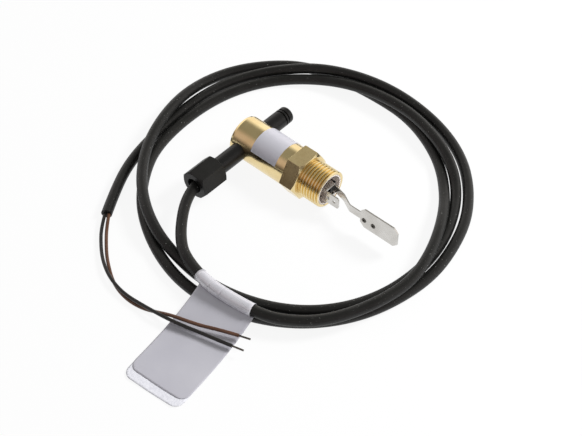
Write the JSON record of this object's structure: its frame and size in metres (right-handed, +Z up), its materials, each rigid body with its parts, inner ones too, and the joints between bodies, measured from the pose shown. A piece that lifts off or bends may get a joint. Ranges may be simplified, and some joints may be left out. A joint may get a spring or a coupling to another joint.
{
  "type": "paddle flow switch",
  "caption": "Brass pipe flow switch with a hinged paddle, a clamped reed-switch tube across its shank and a loose coil of cable with stripped leads and a folded label.",
  "frame": {"origin": "on the surface the switch lies on, under the middle of the box of everything but the free cable", "axes": "+X along the body's axis towards the thread and paddle, -Y along the reed tube towards the cable gland, +Z up from the surface"},
  "size_m": [0.186, 0.2317, 0.024],
  "materials": {
    "brass": "turned, dulled",
    "stainless": "rolled sheet",
    "screw_steel": "black oxide",
    "ferrite": "sintered, ground",
    "moulded_black": "moulded, satin",
    "tube_black": "satin",
    "label_foil": "silver film",
    "label_film": "pale film",
    "seal_rubber": "matt",
    "cable_jacket": "smooth jacket",
    "core_brown": "smooth",
    "core_black": "smooth",
    "copper": "bright strands",
    "reed_glass": "clear",
    "circuit_board": "laminate",
    "magnet_metal": "plated"
  },
  "bodies": {
    "body": {"sensor_body": "brass", "clamp_screw": "screw_steel", "reset_magnet": "magnet_metal", "body_label": "label_foil", "bracket_ring": "stainless", "hinge_bracket": "stainless", "hinge_pin": "stainless", "pin_clip": "stainless", "hinge_spacer": "stainless"},
    "lever": {"pivot_block": "moulded_black", "lever_arm": "stainless", "arm_rivets": "stainless", "lever_magnet": "ferrite", "paddle_plate": "stainless", "paddle_rivets": "stainless"},
    "reed_unit": {"reed_housing": "tube_black", "reed_end_cap": "tube_black", "reed_glass": "reed_glass", "reed_leads": "copper", "reed_board": "circuit_board", "inner_lead_brown": "core_brown", "inner_lead_black": "core_black", "gland_nut": "moulded_black", "gland_washer": "stainless", "gland_seal": "seal_rubber", "cable_sheath": "cable_jacket", "brown_core": "core_brown", "black_core": "core_black", "brown_tip": "copper", "black_tip": "copper", "label_sleeve": "label_film", "label_front": "label_foil", "label_back": "label_film"}
  },
  "joints": [
    {"name": "lever_hinge", "type": "hinge", "parent": "body", "child": "lever", "pos_m": [0.00671, 0.00945, 0.012], "axis": [0, 0, 1], "range_deg": [0, 9], "stiffness_Nm_per_rad": 0.004},
    {"name": "reed_slide", "type": "slide", "parent": "body", "child": "reed_unit", "axis": [0, 1, 0], "range_m": [-0.006, 0.01]}
  ]
}
